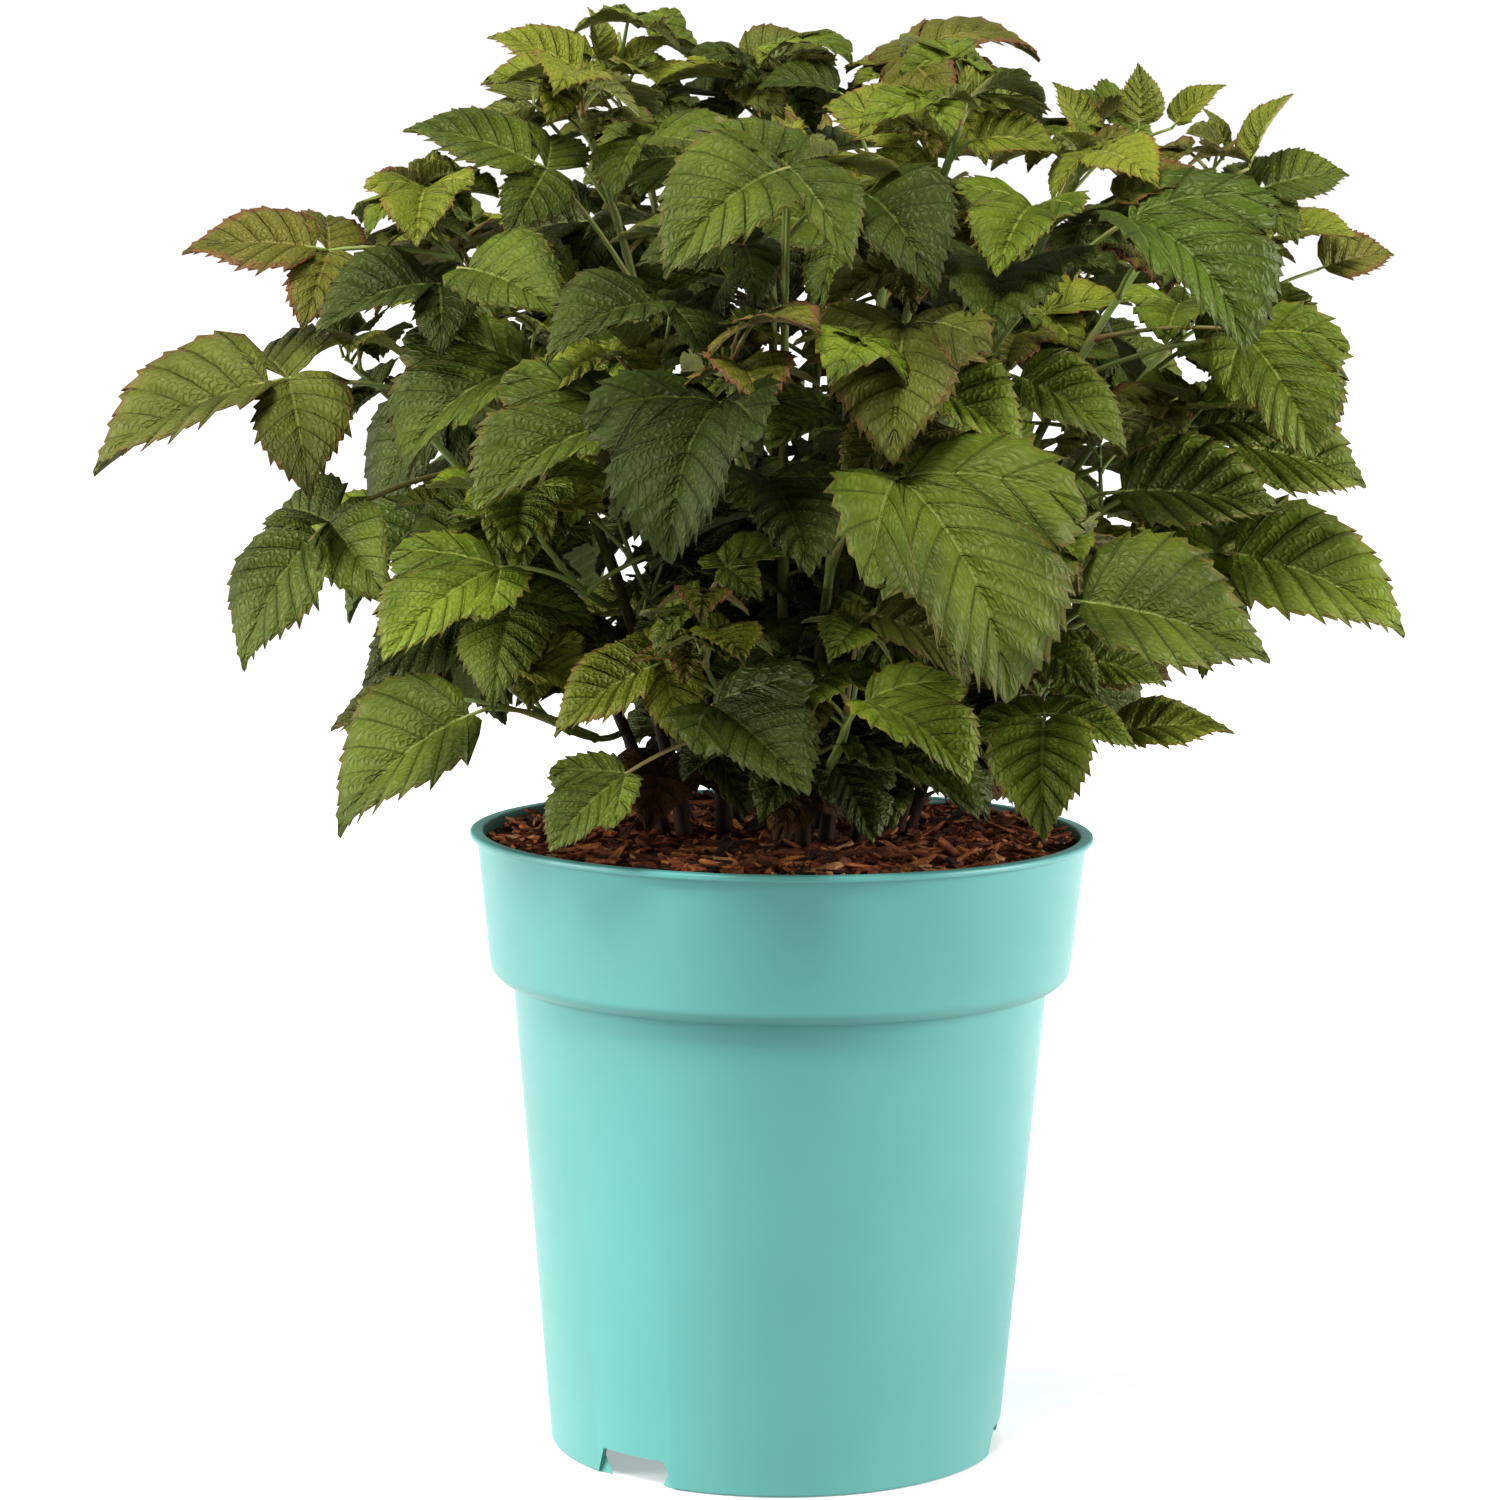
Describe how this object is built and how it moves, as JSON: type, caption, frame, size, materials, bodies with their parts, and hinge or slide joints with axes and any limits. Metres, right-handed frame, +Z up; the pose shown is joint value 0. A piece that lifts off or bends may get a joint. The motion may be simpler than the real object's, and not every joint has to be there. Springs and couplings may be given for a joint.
{
  "type": "potted dwarf raspberry bush",
  "caption": "Dwarf raspberry bush with leafy canes fanning out of a round tapered plastic nursery pot filled with bark mulch.",
  "frame": {"origin": "centre of the pot's flat underside, on the surface the pot stands on", "axes": "+Z up along the pot's axis, +X to the right and -Y to the front of the bush"},
  "size_m": [0.4751, 0.4132, 0.5322],
  "materials": {
    "pot": "smooth satin turquoise plastic",
    "soil": "loose red-brown bark mulch over potting soil",
    "cane": "green-brown young bark, faintly downy",
    "leaf": "quilted green leaf with a paler underside"
  },
  "bodies": {
    "root": {"pot": "pot", "soil": "soil", "cane_left_outer": "cane", "cane_left_high": "cane", "cane_top_left": "cane", "cane_top_left_back": "cane", "cane_top_mid": "cane", "cane_top_right": "cane", "cane_front_high": "cane", "cane_front_top": "cane", "cane_right_front_high": "cane", "cane_right_ridge": "cane", "cane_right_high": "cane", "cane_right_outer": "cane", "cane_centre_front": "cane", "cane_back_left": "cane", "cane_back_mid": "cane", "cane_back_right": "cane", "cane_back_far_left": "cane", "leaves_left_outer": "leaf", "leaves_left_high": "leaf", "leaves_top_left": "leaf", "leaves_top_left_back": "leaf", "leaves_top_mid": "leaf", "leaves_top_right": "leaf", "leaves_front_high": "leaf", "leaves_front_top": "leaf", "leaves_right_front_high": "leaf", "leaves_right_ridge": "leaf", "leaves_right_high": "leaf", "leaves_right_outer": "leaf", "leaves_centre_front": "leaf", "leaves_back_left": "leaf", "leaves_back_mid": "leaf", "leaves_back_right": "leaf", "leaves_back_far_left": "leaf", "leaves_left_low": "leaf", "leaves_bottom_left": "leaf", "leaves_left_front": "leaf", "leaves_centre_left": "leaf", "leaves_centre": "leaf", "leaves_bottom_centre": "leaf", "leaves_bottom_right": "leaf", "leaves_right_front": "leaf", "leaves_right_bottom": "leaf", "leaves_right_mid": "leaf", "leaves_right_low": "leaf", "leaves_back_low_left": "leaf", "leaves_back_low_mid": "leaf", "leaves_back_low_right": "leaf", "leaves_inner_left": "leaf", "leaves_inner_right": "leaf", "leaves_inner_front": "leaf", "leaves_inner_back": "leaf", "leaves_inner_low": "leaf", "leaves_foot_left": "leaf", "leaves_foot_mid": "leaf", "leaves_foot_right": "leaf"}
  },
  "joints": []
}
